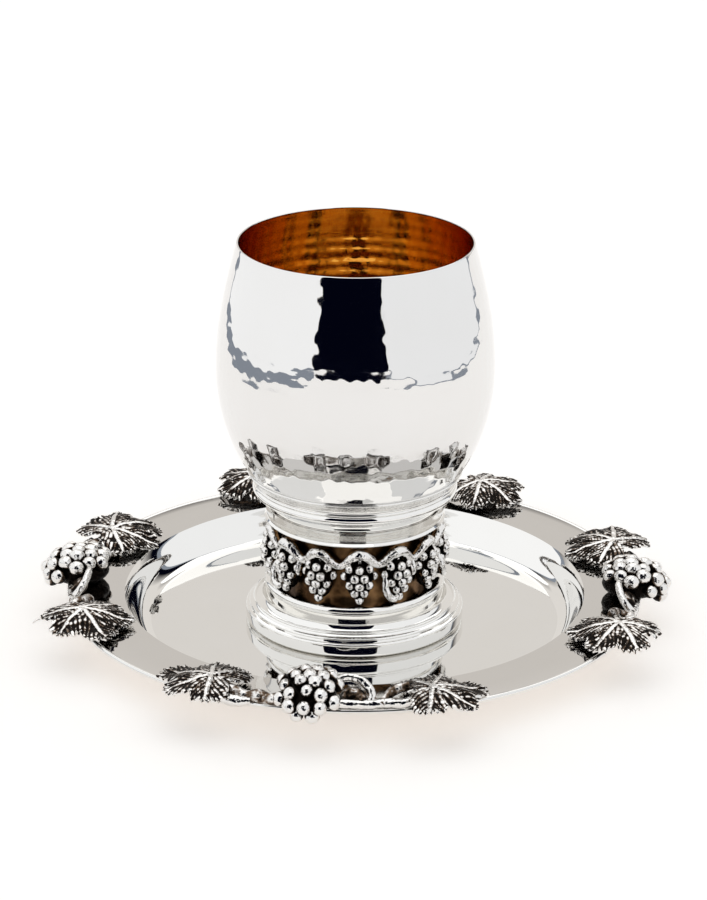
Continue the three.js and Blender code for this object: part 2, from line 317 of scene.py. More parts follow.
# the middles of the marks, row above row, each a little out of its place
def hammerMarks(side, pitch, jitter, seed):
    dice = random.Random(seed)
    marks, rows, travelled, due = [], [], 0.0, 0.0
    for (r0, z0), (r1, z1) in zip(side, side[1:]):
        travelled += math.hypot(r1 - r0, z1 - z0)
        if travelled < due:
            continue
        due += pitch * bowl["rowPitch"]
        rows.append(z1)
        count = max(6, round(2 * math.pi * r1 / pitch))
        start = dice.random()
        for index in range(count):
            turn = 2 * math.pi * (index + start + dice.uniform(-jitter, jitter)) / count
            lift = dice.uniform(-jitter, jitter) * pitch * 0.8
            marks.append((r1 * math.cos(turn), r1 * math.sin(turn), z1 + lift))
    return marks, np.array(rows)


# the inside follows the outside one wall's thickness further in, and closes in a round bottom
def bowlInside(lip):
    inside = []
    for radius, height in reversed(bowlSide(bowl["insideStep"])):
        if height < bowl["rim"] - lip and height > bowl["foot"] + 6:
            nearRim = max(0.0, 1 - (bowl["rim"] - height) / bowl["lipThins"])
            thinned = bowl["wall"] - nearRim * (bowl["wall"] - bowl["lipWall"])
            shrunk = underBowl(height, bowl["wall"]) if height < bowl["widest"] else radius - thinned
            inside.append((shrunk, height))
    lowRadius, lowHeight = inside[-1]
    fall = lowHeight - bowl["foot"] - bowl["bottomWall"]
    for index in range(1, bowl["bottomSteps"] + 1):
        turn = math.pi / 2 * index / bowl["bottomSteps"]
        inside.append((lowRadius * math.cos(turn), lowHeight - fall * math.sin(turn)))
    return inside


def hammerBowl(piece, side, inside):
    points = places(piece) / mm
    normals = np.empty(len(points) * 3)
    piece.data.vertices.foreach_get("normal", normals)
    normals = normals.reshape(-1, 3)
    facingOut = np.einsum("ij,ij->i", normals[:, :2], points[:, :2]) > 0
    highest = bowl["rim"] + floorLevel - bowl["plainLip"]
    outside = [(radius, height + floorLevel) for radius, height in side]
    insideUp = [(radius, height + floorLevel) for radius, height in reversed(inside)]
    for outward, course, pitch, rise, rowRise, jitter, seed in (
            (True, outside, bowl["markPitch"], bowl["markRise"], 0, bowl["jitter"], 11),
            (False, insideUp, bowl["insidePitch"], bowl["insideRise"], bowl["rowRise"], bowl["insideJitter"], 23)):
        marks, rows = hammerMarks(course, pitch, jitter, seed)
        tree = kdtree.KDTree(len(marks))
        for index, mark in enumerate(marks):
            tree.insert(mark, index)
        tree.balance()
        for index in np.nonzero(facingOut == outward)[0]:
            x, y, z = points[index]
            if z > highest or z < bowl["fadeFrom"]:
                continue
            away = min(tree.find((x, y, z))[2], bowl["markReach"])
            offRow = np.abs(rows - z).min()
            ease = min(1.0, (highest - z) / bowl["fadeOver"])
            points[index] += normals[index] * (rise * away ** 2 + rowRise * offRow ** 2) * ease
    putPlaces(piece, points * mm)


def makeBowl():
    side = bowlSide(bowl["step"])
    lip = bowl["lipWall"] / 2
    inside = bowlInside(lip)
    outline = [(radius, bowl["foot"]) for radius in (0, 4, 9, 14)]
    outline += [point for point in side if point[1] < bowl["rim"] - lip * 0.6]
    outline += arc((bowl["rimRadius"] - lip, bowl["rim"] - lip), lip, 10, 170, 6)
    outline += inside
    piece = turnPiece([(radius, height + floorLevel) for radius, height in outline], bowl["around"])
    hammerBowl(piece, side, inside)

    coat(piece, hammeredSilver, gilding)
    giltTop = (bowl["rim"] + floorLevel - lip * 0.9) * mm
    giltBottom = (bowl["foot"] + floorLevel + 0.7) * mm
    for face in piece.data.polygons:
        middle = face.center
        inwards = face.normal.x * middle.x + face.normal.y * middle.y < 0 or face.normal.z > 0.7
        if inwards and giltBottom < middle.z < giltTop:
            face.material_index = 1
    return finishPiece(piece, "bowlShell", "bowl", 60)


# the turned cup that holds the bowl, and below it the stepped foot with its stem
collar = {"bottom": 33.8, "radius": 27.8, "top": 49.6, "around": 220, "gap": 0.22, "wall": 0.4,
          "waist": ((27.2, 35.0), (27.35, 36.8), (27.53, 38.6), (27.75, 40.3), (28.2, 41.1), (29.0, 41.7),
                    (29.9, 42.1)),
          "ring": ((29.9, 43.8), 1.5, -72, 62, 12), "bead": ((30.55, 45.45), 0.52, -50, 75, 6),
          "cup": (46.8, 47.5, 48.2, 48.9), "matted": (46.5, 48.9), "seatSteps": 20, "seatStep": 0.62}


def makeCollar():
    gap, wall = collar["gap"], collar["wall"]
    heights = [collar["top"] - 0.1 - collar["seatStep"] * step for step in range(collar["seatSteps"])]
    outline = [(0, collar["bottom"]), (collar["radius"] - 0.6, collar["bottom"])]
    outline += arc((collar["radius"] - 0.5, collar["bottom"] + 0.6), 0.45, -80, 0, 4)
    outline += [*collar["waist"], *arc(*collar["ring"]), *arc(*collar["bead"]), (30.65, 46.2)]
    outline += [(underBowl(height) + gap + wall, height) for height in collar["cup"]]
    lipMiddle = collar["top"] - 0.2
    outline += arc((underBowl(lipMiddle) + (gap + wall) / 2 + 0.1, lipMiddle), 0.35, -40, 130, 6)
    outline += [(underBowl(height) + gap, height) for height in heights]
    outline += [(underBowl(bowl["foot"]) + gap, bowl["foot"]), (0, bowl["foot"])]
    piece = turnPiece([(radius, height + floorLevel) for radius, height in outline], collar["around"])
    # the collar in the brighter copy of the silver: painted light
    coat(piece, paintedLightSilver, mattedSilver)
    low, high = [(height + floorLevel) * mm for height in collar["matted"]]
    for face in piece.data.polygons:
        if low < face.center.z < high:
            face.material_index = 1
    return finishPiece(piece, "collarTurned", "collar")


base = {"radius": 33.7, "band": 5, "plateau": 14.2, "stem": 22.6, "top": 33.8, "recess": 1, "around": 240,
        "footRing": 4, "lowRound": 1.9, "topRound": 0.75, "firstBead": ((32.1, 5.7), 0.55, -30, 90, 5),
        "secondBead": ((30.75, 7.05), 0.4, -20, 100, 5), "cove": ((29.95, 8.95), 2.35, -78, -178, 14),
        "torus": ((26.4, 12.6), 1.55, -45, 84, 12)}


def makeBase():
    outer, inner = base["radius"], base["radius"] - base["footRing"]
    outline = [(0, base["recess"]), (inner, base["recess"]), (inner, 0), (outer - 2.2, 0)]
    outline += arc((outer - base["lowRound"], base["lowRound"] + 0.1), base["lowRound"], -85, 0, 8)
    outline += arc((outer - 0.7, base["band"] - 0.8), base["topRound"], 0, 85, 6)
    outline += [(32.7, 5.1), *arc(*base["firstBead"]), (31.7, 6.4), (31.3, 6.7), *arc(*base["secondBead"])]
    outline += [*arc(*base["cove"]), (27.58, 10.2), *arc(*base["torus"])]
    outline += [(25.6, base["plateau"]), (24, base["plateau"]), (base["stem"], base["plateau"])]
    outline += [(base["stem"], base["top"]), (0, base["top"])]
    piece = turnPiece([(radius, height + floorLevel) for radius, height in outline], base["around"])
    # the base in the brighter copy of the silver (painted light), its stem in the brown ground
    coat(piece, paintedLightSilver, stemGround)
    stemFoot = (base["plateau"] + floorLevel + 0.2) * mm
    for face in piece.data.polygons:
        if face.center.z > stemFoot and abs(face.normal.z) < 0.5:
            face.material_index = 1
    return finishPiece(piece, "baseTurned", "base", 30)


# the tray: one sheet, with an ogee wall and a rolled edge
tray = {"sheet": 1.2, "floor": 63.2, "lip": 71.2, "radius": 88.7, "rimTop": 10.6, "bead": 0.75, "around": 300,
        "wallFoot": (5.4, 0), "wallHead": (3.2, 2.8), "wallSteps": 24, "underShift": (0.75, 1.2)}


def makeTray():
    wall = []
    a, d = Vector((tray["floor"], tray["sheet"])), Vector((tray["lip"], tray["rimTop"]))
    b, c = a + Vector(tray["wallFoot"]), d - Vector(tray["wallHead"])
    for index in range(tray["wallSteps"] + 1):
        t = index / tray["wallSteps"]
        point = a * (1 - t) ** 3 + b * 3 * t * (1 - t) ** 2 + c * 3 * t * t * (1 - t) + d * t ** 3
        wall.append((point.x, point.y))
    across, down = tray["underShift"]
    underRim = tray["rimTop"] - tray["sheet"]
    edge = tray["radius"] - tray["bead"]
    outline = [(0, 0), (30, 0), (tray["floor"] + 0.5, 0)]
    outline += [(radius + across, height - down) for radius, height in wall[2:-2]]
    outline += [(tray["lip"] + 0.9, underRim), (edge - 0.9, underRim)]
    outline += reversed(arc((edge, tray["rimTop"] - 0.5), tray["bead"], 128, -138, 14))
    outline += [(edge - 0.75, tray["rimTop"]), (80, tray["rimTop"]), (74, tray["rimTop"]), *reversed(wall)]
    outline += [(radius, tray["sheet"]) for radius in (50, 33, 15, 0)]
    piece = turnPiece(outline, tray["around"])
    coat(piece, silver, paintedShadeRimSilver, paintedLightSilver)
    for face in piece.data.polygons:
        fromMiddle = math.hypot(face.center.x, face.center.y) / mm
        # the rim's flat top takes the darker copy of the silver: painted shade
        if face.normal.z > 0.99 and face.center.z > (tray["rimTop"] - 0.1) * mm:
            face.material_index = 1
        # the inside of the wall takes the brighter copy of the silver: painted light
        elif tray["floor"] < fromMiddle < tray["lip"] and face.normal.z > 0:
            face.material_index = 2
    return finishPiece(piece, "traySheet", "tray", 30)


makeBowl()
makeCollar()
makeBase()
makeTray()


# what the castings share: each part is shaped flat, given its wear and painted shade, joined, then laid round the tray
# or stem
# a grape is rubbed bright where it faces outwards and dark behind, where it sits in the bunch: rub wear and oxide, and
# painted shade in the hollows between the grapes
grapeWearAndShade = {"slope": 1.3, "bend": 0.3, "least": 0.3}


def berry(place, size, outwards, rubbed, stretch=(1, 1, 1)):
    pickNothing()
    bpy.ops.mesh.primitive_uv_sphere_add(segments=18, ring_count=10, radius=size * mm)
    ball = bpy.context.active_object
    points = places(ball)
    facing = (points / (size * mm)) @ np.array(outwards)
    # painted shade on the side turned into the bunch, together with rub wear
    paintWearAndShade(ball, np.maximum(rubbed + grapeWearAndShade["slope"] * (facing - grapeWearAndShade["bend"]), grapeWearAndShade["least"]))
    putPlaces(ball, points * np.array(stretch) + np.array(place) * mm)
    bpy.ops.object.shade_smooth()
    return ball


# a wire runs through its stops, with its own radius at each
def wire(stops, sizes, wornAndShaded, sides=4, cyclic=False, flatten=1.0):
    pickNothing()
    bpy.ops.curve.primitive_nurbs_path_add()
    path = bpy.context.active_object
    path.data.splines.clear()
    spline = path.data.splines.new("BEZIER")
    spline.bezier_points.add(len(stops) - 1)
    for point, stop, size in zip(spline.bezier_points, stops, sizes):
        point.co = [value * mm for value in stop]
        point.radius = size
        point.handle_left_type = point.handle_right_type = "AUTO"
    spline.use_cyclic_u = cyclic
    path.data.dimensions = "3D"
    path.data.resolution_u = 10
    path.data.bevel_depth = mm
    path.data.bevel_resolution = sides
    path.data.use_fill_caps = True
    bpy.ops.object.convert(target="MESH")
    made = bpy.context.active_object
    paintWearAndShade(made, np.full(len(made.data.vertices), wornAndShaded))
    if flatten != 1.0:
        points = places(made)
        middle = points.mean(axis=0)
        points[:, 1] = middle[1] + (points[:, 1] - middle[1]) * flatten
        putPlaces(made, points)
    bpy.ops.object.shade_smooth()
    return made


def joinAll(parts):
    pickNothing()
    for part in parts:
        part.select_set(True)
    bpy.context.view_layer.objects.active = parts[0]
    bpy.ops.object.join()
    return bpy.context.active_object


def copyOf(part):
    made = part.copy()
    made.data = part.data.copy()
    bpy.context.collection.objects.link(made)
    return made


def turnNormalsOut(piece):
    pickOnly(piece)
    bpy.ops.object.mode_set(mode="EDIT")
    bpy.ops.mesh.select_all(action="SELECT")
    bpy.ops.mesh.normals_make_consistent(inside=False)
    bpy.ops.object.mode_set(mode="OBJECT")


# sprigs: x runs along the rim, y outwards from the rim's middle line, z up from the rim's top
sprigLine = 87.0
sprigs = [
    {"name": "vineSprigFront", "node": "vine_sprig_front", "angle": -96.6, "mirrored": False, "leafAlong": 32.6,
     "hubs": (-1.2, -1.2), "tipLifts": (0.5, 0.5), "tips": (18, 16.8), "twists": (0, 0), "spur": False, "seed": 3},
    {"name": "vineSprigRight", "node": "vine_sprig_right", "angle": -4.7, "mirrored": True, "leafAlong": 32.6,
     "hubs": (-2.4, 0), "tipLifts": (3, 0.5), "tips": (16.5, 14.5), "twists": (-27, 0), "spur": False, "seed": 5},
    {"name": "vineSprigBack", "node": "vine_sprig_back", "angle": 86, "mirrored": False, "leafAlong": 38,
     "hubs": (-2, -2), "tipLifts": (2, 3), "tips": (16.5, 16.5), "twists": (-10, -10), "spur": False, "seed": 8},
    {"name": "vineSprigLeft", "node": "vine_sprig_left", "angle": 178.5, "mirrored": False, "leafAlong": 32.6,
     "hubs": (-4, -1), "tipLifts": (4.5, 0), "tips": (17, 16), "twists": (-27, 0), "spur": True, "seed": 13},
]

# a vine leaf: five lobes round its hub, with ribs, side veins, a fold along each rib and a drooping, wavy edge
leaf = {"lobes": (-114, -60, -6, 50, 108), "reach": (13.5, 15.4, 18, 13.5, 12), "shoulder": 0.94, "sinus": 0.73,
        "petioleSinus": 0.34, "hub": 4.65, "tip": 15.5, "outwards": 1.2, "around": 324, "rings": 42,
        "thickness": 0.9, "droop": (0.018, 0.021), "sideDroop": 0.005, "lowest": 1.25, "restsIn": 0.5,
        "foldRise": 0.09, "waves": 9, "waveRise": 0.35, "wobbleRise": 0.12, "rib": 0.55, "ribWidth": 0.46,
        "vein": 0.2, "veinEdge": 3.0, "veinPitch": 1.25, "branch": 34, "tooth": 0.11, "toothPitch": 7.2,
        "grain": 0.07, "ribRubbed": 2.2, "rubbed": 0.72, "dulledAndShaded": -0.2, "patchy": 0.24,
        "rim": 0.94, "rimRubbed": 0.3,
        "underside": 0.32, "undersideRim": 0.85}


# how far the leaf reaches in each direction, lobe by lobe, with a toothed edge
def leafReach(turns, tip):
    reaches = [*leaf["reach"][:2], tip, *leaf["reach"][3:]]
    knotAngle, knotReach = [-180.0], [reaches[0] * leaf["petioleSinus"]]
    for index, (angle, reach) in enumerate(zip(leaf["lobes"], reaches)):
        if index:
            knotAngle.append((angle + leaf["lobes"][index - 1]) / 2)
            knotReach.append(leaf["sinus"] * (reach + reaches[index - 1]) / 2)
        for shift, share in ((-19, leaf["shoulder"]), (-8, 0.98), (0, 1.03), (8, 0.98), (19, leaf["shoulder"])):
            knotAngle.append(angle + shift)
            knotReach.append(reach * share)
    knotAngle.append(180.0)
    knotReach.append(reaches[-1] * leaf["petioleSinus"])
    reach = np.interp(turns, knotAngle, knotReach)
    teeth = 1 - np.abs(((turns / leaf["toothPitch"]) % 1) * 2 - 1)
    return reach * (1 + leaf["tooth"] * (teeth - 0.6))


def makeLeaf(hubAlong, direction, hubOutwards, tipLift, tip, twist, seed):
    pickNothing()
    around, rings = leaf["around"], leaf["rings"]
    bpy.ops.mesh.primitive_circle_add(vertices=around, radius=1)
    blade = bpy.context.active_object
    bpy.ops.object.mode_set(mode="EDIT")
    bpy.ops.mesh.select_all(action="SELECT")
    for ring in range(rings - 1, 0, -1):
        bpy.ops.mesh.extrude_region_move()
        bpy.ops.transform.resize(value=[ring / (ring + 1)] * 3)
    bpy.ops.mesh.merge(type="CENTER")
    bpy.ops.object.mode_set(mode="OBJECT")
    points = places(blade)
    share = np.hypot(points[:, 0], points[:, 1])
    turns = np.degrees(np.arctan2(points[:, 1], points[:, 0]))
    reach = leafReach(turns, tip) * share
    dice = np.random.default_rng(seed)
    x = reach * np.cos(np.radians(turns))
    y = reach * np.sin(np.radians(turns))

    # each point belongs to the lobe nearest to it, whose rib it is measured along and across
    nearest = np.abs(turns[:, None] - np.array(leaf["lobes"])).argmin(axis=1)
    angles = np.radians(np.array(leaf["lobes"])[nearest])
    along = x * np.cos(angles) + y * np.sin(angles)
    across = -x * np.sin(angles) + y * np.cos(angles)
    out = np.clip(along / np.array(leaf["reach"])[nearest], 0, 1)
    wobble = sum(np.sin(x * a + y * b + c) for a, b, c in dice.uniform((-1.1, -1.1, 0), (1.1, 1.1, 6), (5, 3)))
    rib = np.exp(-(across / (leaf["ribWidth"] * (1.25 - 0.75 * out))) ** 2)
    branch = math.radians(leaf["branch"])
    crossing = along * math.sin(branch) - np.abs(across) * math.cos(branch) + 0.12 * wobble
    phase = crossing / leaf["veinPitch"] + np.where(across > 0, 0.35, 0)
    # side veins leave the rib slantwise and fade out beside it
    vein = (0.5 + 0.5 * np.cos(2 * np.pi * phase)) ** leaf["veinEdge"] * np.clip(np.abs(across) / 0.7 - 0.2, 0, 1)
    fine = 0.5 + 0.5 * np.sin(5.1 * x + 1.7 * wobble) * np.sin(4.7 * y + 2.1 * wobble)
    raised = leaf["rib"] * rib + leaf["vein"] * vein * (1 - 0.2 * out) + leaf["grain"] * fine
    lobeFold = 0.6 + 0.4 * np.sin(nearest * 2.1 + seed)
    fold = leaf["foldRise"] * np.abs(across) * np.clip(along / 6, 0, 1) * lobeFold
    wavy = leaf["waveRise"] * share ** 3 * np.sin(np.radians(turns) * leaf["waves"] + seed)
    wavy += leaf["wobbleRise"] * wobble * share
    # ribs, veins and rim rubbed bright, the hollows between them dark: oxide, and painted shade in the hollows
    wornAndShaded = leaf["dulledAndShaded"] + np.maximum(rib ** leaf["ribRubbed"], leaf["rubbed"] * vein)
    wornAndShaded += leaf["patchy"] * (fine - 0.3) + leaf["rimRubbed"] * (share > leaf["rim"])

    turned = math.radians(twist)
    x, y = x * math.cos(turned) - y * math.sin(turned), x * math.sin(turned) + y * math.cos(turned)
    drop = np.where(y > 0, *leaf["droop"]) * reach ** 2 + leaf["sideDroop"] * x ** 2
    height = leaf["hub"] + tipLift * np.clip(x, 0, None) / leaf["tip"] - drop + fold + wavy
    # the edges come to rest softly just above the rim
    height = leaf["lowest"] + np.logaddexp(0, (height - leaf["lowest"]) / leaf["restsIn"]) * leaf["restsIn"]
    putPlaces(blade, np.column_stack([hubAlong + direction * x, hubOutwards + leaf["outwards"] + y,
                                      height + raised]) * mm)
    pickOnly(blade)
    thick = blade.modifiers.new("thickness", "SOLIDIFY")
    thick.thickness = leaf["thickness"] * mm
    thick.offset = -1 if direction > 0 else 1
    bpy.ops.object.modifier_apply(modifier=thick.name)
    # the underside was never rubbed, apart from its rim, and stays dark: oxide, and painted shade under the leaf
    heights = places(blade)[:, 2]
    buried = np.where(share > leaf["rim"], leaf["undersideRim"], leaf["underside"])
    upperFirst = heights[:len(wornAndShaded)].mean() > heights[len(wornAndShaded):].mean()
    paintWearAndShade(blade, np.concatenate([wornAndShaded, buried] if upperFirst else [buried, wornAndShaded]))
    bpy.ops.object.shade_smooth()
    return blade


# the bunch: rows of grapes domed over the rim, and a tip that hangs over the tray's edge
cluster = {"along": -3, "outwards": -1.2, "height": 3.4, "length": 22, "width": 22, "tall": 6.0, "pitch": 4.05,
           "rowShare": 0.86, "ragged": (0.4, 0.35, 0.3), "sizes": (0.86, 1.1), "berry": 2.2, "rubbed": 0.42,
           "stretch": (0.93, 1.12, 1.02), "heart": (0.36, 0.42, 0.2),
           "tip": ((-7.2, 4.9, 0.6), (-4.0, 8.0, 0.2), (0.0, 9.0, 0.4), (4.0, 8.0, 0.1), (7.3, 4.8, 0.5),
                   (-2.1, 7.6, -2.6), (2.0, 7.7, -2.7))}


def makeCluster(seed):
    dice = random.Random(seed)
    parts = []
    pitch, size = cluster["pitch"], cluster["berry"]
    sideways, outOfRow, upwards = cluster["ragged"]
    half = cluster["width"] / 2 - size * 0.8
    deep = cluster["length"] / 2 - size * 0.8
    for row in range(-3, 4):
        for column in range(-3, 4):
            across = (column + (0.5 if row % 2 else 0)) * pitch + dice.uniform(-sideways, sideways)
            out = row * pitch * cluster["rowShare"] + dice.uniform(-outOfRow, outOfRow)
            away = (across / half) ** 2 + (out / deep) ** 2
            if away > 1.12:
                continue
            up = math.sqrt(max(0.04, 1 - 0.9 * away))
            outwards = Vector((across / half, out / deep, up)).normalized()
            place = (cluster["along"] + across, cluster["outwards"] + out,
                     cluster["height"] + cluster["tall"] * up + dice.uniform(-upwards, upwards))
            grape = size * dice.uniform(*cluster["sizes"])
            parts.append(berry(place, grape, outwards, cluster["rubbed"], cluster["stretch"]))
    for across, out, up in cluster["tip"]:
        outwards = Vector((across * 0.1, 1, 0.3 + up * 0.15)).normalized()
        place = (cluster["along"] + across, cluster["outwards"] + out + 0.9, cluster["height"] + up)
        grape = size * dice.uniform(0.9, 1.05)
        parts.append(berry(place, grape, outwards, cluster["rubbed"], cluster["stretch"]))
    pickNothing()
    bpy.ops.mesh.primitive_uv_sphere_add(segments=24, ring_count=14, radius=mm)
    heart = bpy.context.active_object
    wide, long, tall = cluster["heart"]
    core = places(heart) / mm * np.array((cluster["width"] * wide, cluster["length"] * long, cluster["width"] * tall))
    core += np.array((cluster["along"], cluster["outwards"], cluster["height"]))
    core[:, 2] = np.maximum(core[:, 2], 0.4)
    putPlaces(heart, core * mm)
    # the heart is painted black: oxide, and painted shade in the gaps between the grapes
    paintWearAndShade(heart, np.zeros(len(core)))
    return parts + [heart]


# the twig from leaf to leaf under the bunch: knotted and dark on one side, rubbed bright on the other
def makeTwig(leafAlong, hubs):
    left, right = hubs[0] + 0.6, hubs[1] + 0.6
    bud = cluster["along"]
    knotted = wire([(-leafAlong - 1, left, 3.8), (-leafAlong + 4, left + 0.8, 3.0), (-leafAlong + 8, 0.6, 2.2),
                    (-leafAlong + 11.5, 0.9, 1.8), (-leafAlong + 15, 0.5, 2.0), (-leafAlong + 18, 0.9, 1.8),
                    (bud - 8, 0.5, 2.0)], [1.2, 1.6, 1.9, 1.5, 2.1, 1.6, 1.9], 0.5)
    smooth = wire([(bud - 8, 0.6, 1.7), (bud, 0.6, 1.5), (bud + 8, 0.4, 1.7), (14, 0.5, 1.5), (20, 0.2, 1.6),
                   (24, 0.6, 1.5), (leafAlong - 5, right + 0.6, 2.4), (leafAlong + 1, right, 3.8)],
                  [1.6, 1.5, 1.5, 1.4, 1.5, 1.45, 1.2, 1.0], 0.95)
    loop = wire([(3.5, -4.4, 5.6), (6.8, -5.4, 7.2), (10.6, -5.0, 7.2), (13.8, -3.2, 5.6), (15.2, -0.8, 3.4),
                 (14.8, 0.8, 1.8)], [1.1, 1.25, 1.35, 1.35, 1.3, 1.3], 1.0, flatten=0.8)
    pad = wire([(6.5, -1.2, 2.4), (9, -2.6, 3.4), (11.6, -1.8, 3.0), (12.4, 0.2, 2.0)], [1.6, 2.0, 1.9, 1.5], 0.42)
    shoot = wire([(leafAlong - 15, 1.2, 1.6), (leafAlong - 13, -2.0, 2.6), (leafAlong - 10, -3.6, 4.0),
                  (leafAlong - 6, -3.4, 5.0)], [1.0, 1.3, 1.6, 1.3], 0.5)
    curl = wire([(-leafAlong + 3.5, 2.4, 1.8), (-leafAlong + 6, 3.4, 1.0), (-leafAlong + 10, 3.2, 0.8),
                 (-leafAlong + 13, 2.2, 1.0)], [1.4, 1.8, 1.7, 1.1], 0.75)
    stalks = [wire([(along, out, 0.2), (along, out, 2.2), (along, out - 0.2, 4.6)], [1.9, 1.7, 1.4], 0.4)
              for along, out in ((-leafAlong, left), (leafAlong, right))]
    return [knotted, smooth, loop, pad, shoot, curl, *stalks]


def makeSprig(sprig):
    parts = []
    for side, direction in enumerate((-1, 1)):
        parts.append(makeLeaf(direction * sprig["leafAlong"], direction, sprig["hubs"][side], sprig["tipLifts"][side],
                              sprig["tips"][side], sprig["twists"][side], sprig["seed"] + side))
    if sprig["spur"]:
        parts.append(wire([(29.6, 11.4, 2.2), (28.8, 13.4, 1.8), (29.4, 15.0, 1.2)], [0.4, 0.35, 0.25], 0.7, sides=3))
    parts += makeCluster(sprig["seed"]) + makeTwig(sprig["leafAlong"], sprig["hubs"])
    piece = joinAll(parts)
    points = places(piece) / mm
    turn = -1 if sprig["mirrored"] else 1
    radius = sprigLine + points[:, 1]
    around = np.radians(sprig["angle"]) + turn * points[:, 0] / sprigLine
    height = tray["rimTop"] + points[:, 2]
    putPlaces(piece, np.column_stack([radius * np.cos(around), radius * np.sin(around), height]) * mm)
    turnNormalsOut(piece)
    coat(piece, castSilver)
    return finishPiece(piece, sprig["name"], sprig["node"], 60)


for sprig in sprigs:
    makeSprig(sprig)


# the garland: one bunch under each arch of the vine, thirteen times round the stem
garland = {"repeats": 13, "stepsEach": 8, "turn": 3.1, "inner": 22.9, "vine": 25.6, "wave": 1.9, "size": 1.5,
           "second": (0.985, 0.5, 0.55), "bunch": 24.9, "berry": 1.46, "rubbed": 0.72, "spacing": 2.9,
           "rows": ((3, 2.6), (4, 3.4), (3, 3.0), (2, 2.1), (1, 1.2)), "rowTop": 12.3, "rowDrop": 2.55,
           "heart": (2.6, 4.1, 6.4), "heartHeight": 8}
garlandStart = math.radians(garland["turn"] - 90)


# the vine waves from bunch to bunch, with a thinner second strand twisted round it
def vineStrands(top):
    steps = garland["repeats"] * garland["stepsEach"]
    stops, sizes = [], []
    for index in range(steps):
        turn = 2 * math.pi * index / steps
        arch = math.cos(garland["repeats"] * turn)
        sway = 0.5 * math.sin(3 * turn + 1) + 0.35 * math.sin(7 * turn)
        radius = garland["vine"] + 0.5 * arch
        height = top - 2.0 - garland["wave"] * (1 - arch) + sway * 0.5
        stops.append((radius * math.cos(turn + garlandStart), radius * math.sin(turn + garlandStart), height))
        sizes.append(garland["size"] * (1.05 + 0.18 * arch + 0.1 * math.sin(5 * turn)))
    inwards, lower, thinner = garland["second"]
    second = [(x * inwards, y * inwards, z - lower) for x, y, z in stops[3:] + stops[:3]]
    return [wire(stops, sizes, 1.1, sides=4, cyclic=True),
            wire(second, [size * thinner for size in sizes], 0.95, sides=3, cyclic=True)]


# a bunch: rows of grapes that bulge outwards, a heart behind them painted black (oxide, and painted shade in the gaps
# between the grapes) and a stalk up to the vine
def hangingBunch(bottom, top):
    parts = []
    for row, (width, bulge) in enumerate(garland["rows"]):
        height = bottom + garland["rowTop"] - garland["rowDrop"] * row
        for index in range(width):
            shift = (index - (width - 1) / 2) * garland["spacing"]
            depth = bulge - 0.16 * shift * shift
            outwards = Vector((depth * 0.6, shift * 0.35, 0.15)).normalized()
            place = (garland["bunch"] + depth, shift, height)
            parts.append(berry(place, garland["berry"], outwards, garland["rubbed"]))
    pickNothing()
    bpy.ops.mesh.primitive_uv_sphere_add(segments=12, ring_count=8, radius=mm)
    heart = bpy.context.active_object
    middle = np.array((garland["bunch"] - 0.2, 0, bottom + garland["heartHeight"]))
    core = places(heart) / mm * np.array(garland["heart"]) + middle
    putPlaces(heart, core * mm)
    # the heart is painted black: oxide, and painted shade in the gaps between the grapes
    paintWearAndShade(heart, np.zeros(len(core)))
    stalk = wire([(24.6, 0.3, top - 2.4), (25.2, 0.2, top - 4.4), (24.8, 0, top - 6)], [0.8, 0.7, 0.6], 0.8, sides=3)
    return joinAll([*parts, heart, stalk])


# curling leaf stalks: a long one that hooks round at the foot and a short one under the vine
def curlingStalks(bottom, top):
    long = wire([(25.0, -4.2, bottom + 10.5), (26.4, -5.0, bottom + 7.8), (27.2, -5.1, bottom + 5.2),
                 (27.6, -4.2, bottom + 3.2), (27.7, -2.6, bottom + 2.2), (27.2, -1.2, bottom + 2.6)],
                [0.7, 1.0, 1.15, 1.2, 1.1, 0.8], 0.95, sides=3)
    short = wire([(24.4, 4.6, top - 5.2), (25.4, 5.4, top - 7.4), (25.8, 5.4, top - 9.8), (24.8, 4.8, top - 11.2)],
                 [0.8, 0.9, 0.85, 0.6], 0.8, sides=3)
    return joinAll([long, short])


def makeGarland():
    bottom, top = base["plateau"] + floorLevel, base["top"] - 1 + floorLevel
    parts = vineStrands(top)
    bunch, stalks = hangingBunch(bottom, top), curlingStalks(bottom, top)
    for index in range(garland["repeats"]):
        spun = Matrix.Rotation(2 * math.pi / garland["repeats"] * index + garlandStart, 4, "Z")
        # only every second bunch has the stalks
        for part in (bunch, stalks) if index % 2 else (bunch,):
            made = copyOf(part)
            made.data.transform(spun)
            parts.append(made)
    bpy.data.objects.remove(bunch)
    bpy.data.objects.remove(stalks)
    piece = joinAll(parts)
    points = places(piece) / mm
    radius = np.hypot(points[:, 0], points[:, 1])
    pushed = np.maximum(radius, garland["inner"]) / radius
    points[:, :2] *= pushed[:, None]
    points[:, 2] = np.clip(points[:, 2], bottom + 0.05, top + 0.9)
    putPlaces(piece, points * mm)
    turnNormalsOut(piece)
    coat(piece, castSilver)
    return finishPiece(piece, "garlandCasting", "garland", 60)


makeGarland()


